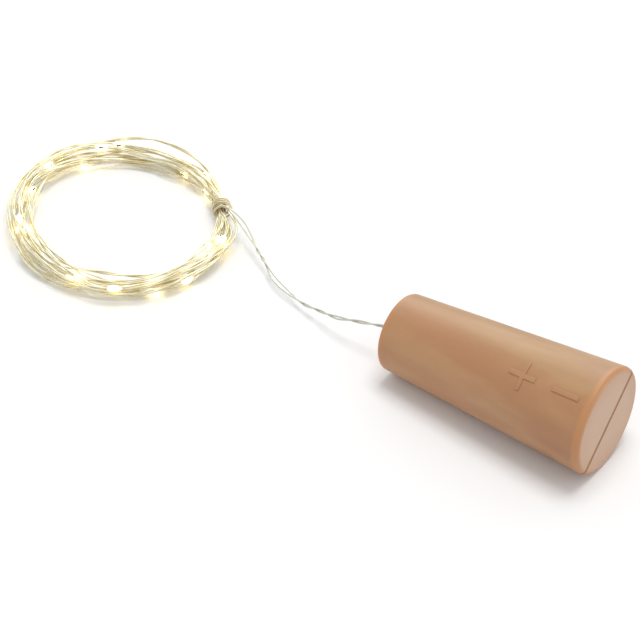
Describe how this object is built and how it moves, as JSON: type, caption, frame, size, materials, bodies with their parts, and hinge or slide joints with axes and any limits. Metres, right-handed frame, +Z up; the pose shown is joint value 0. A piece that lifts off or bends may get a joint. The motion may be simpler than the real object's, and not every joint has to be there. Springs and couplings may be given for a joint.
{
  "type": "cork bottle light",
  "caption": "Tapered cork-shaped battery case with a sliding battery cover and slide switch, and a thin twin-wire string of small lights wound in a tied coil.",
  "frame": {"origin": "on the floor under the middle of the battery case's own box, the case lying on its side", "axes": "+X along the case from its small end to its large end, +Z up; the case's axis leans up towards +X by its own taper, and the coil of the string lies on the -X side"},
  "size_m": [0.1616, 0.053, 0.0228],
  "materials": {
    "case_plastic": "matte moulded cork-coloured plastic",
    "inner_plastic": "matte moulded plastic",
    "contact_metal": "nickel-plated sheet and wire",
    "board": "lacquered circuit board",
    "solder": "solder",
    "resistor_body": "coated ceramic",
    "switch_base": "phenolic board",
    "switch_plastic": "black moulded plastic",
    "glue": "hot-melt glue",
    "red_insulation": "wire insulation",
    "black_insulation": "wire insulation",
    "cell_steel": "nickel-plated steel",
    "cell_gasket": "nylon",
    "string_wire": "enamelled silver-coloured copper wire",
    "clear_resin": "clear cast resin",
    "light_chip": "phosphor-coated light chip"
  },
  "bodies": {
    "housing": {"cell_1_can": "cell_steel", "cell_1_cap": "cell_steel", "cell_1_gasket": "cell_gasket", "cell_2_can": "cell_steel", "cell_2_cap": "cell_steel", "cell_2_gasket": "cell_gasket", "cell_3_can": "cell_steel", "cell_3_cap": "cell_steel", "cell_3_gasket": "cell_gasket", "circuit_board": "board", "contact_spring": "contact_metal", "housing": "case_plastic", "led_beads": "clear_resin", "led_chips": "light_chip", "negative_contact": "contact_metal", "negative_lead": "black_insulation", "partition_plate": "inner_plastic", "positive_contact": "contact_metal", "positive_lead": "red_insulation", "resistor_body": "resistor_body", "resistor_terminals": "solder", "solder_joints": "solder", "strain_relief": "glue", "string_coil": "string_wire", "string_ends": "string_wire", "string_lead": "string_wire", "string_tie": "string_wire", "switch_base": "switch_base", "switch_frame": "contact_metal", "switch_terminals": "contact_metal"},
    "battery_cover": {"battery_cover": "case_plastic"},
    "switch_slider": {"switch_slider": "switch_plastic", "switch_wiper": "contact_metal"}
  },
  "joints": [
    {"name": "cover_slide", "type": "slide", "parent": "housing", "child": "battery_cover", "axis": [0.9983, 0, 0.058], "range_m": [0, 0.025]},
    {"name": "switch_slide", "type": "slide", "parent": "housing", "child": "switch_slider", "axis": [0.9983, 0, 0.058], "range_m": [0, 0.002]}
  ]
}
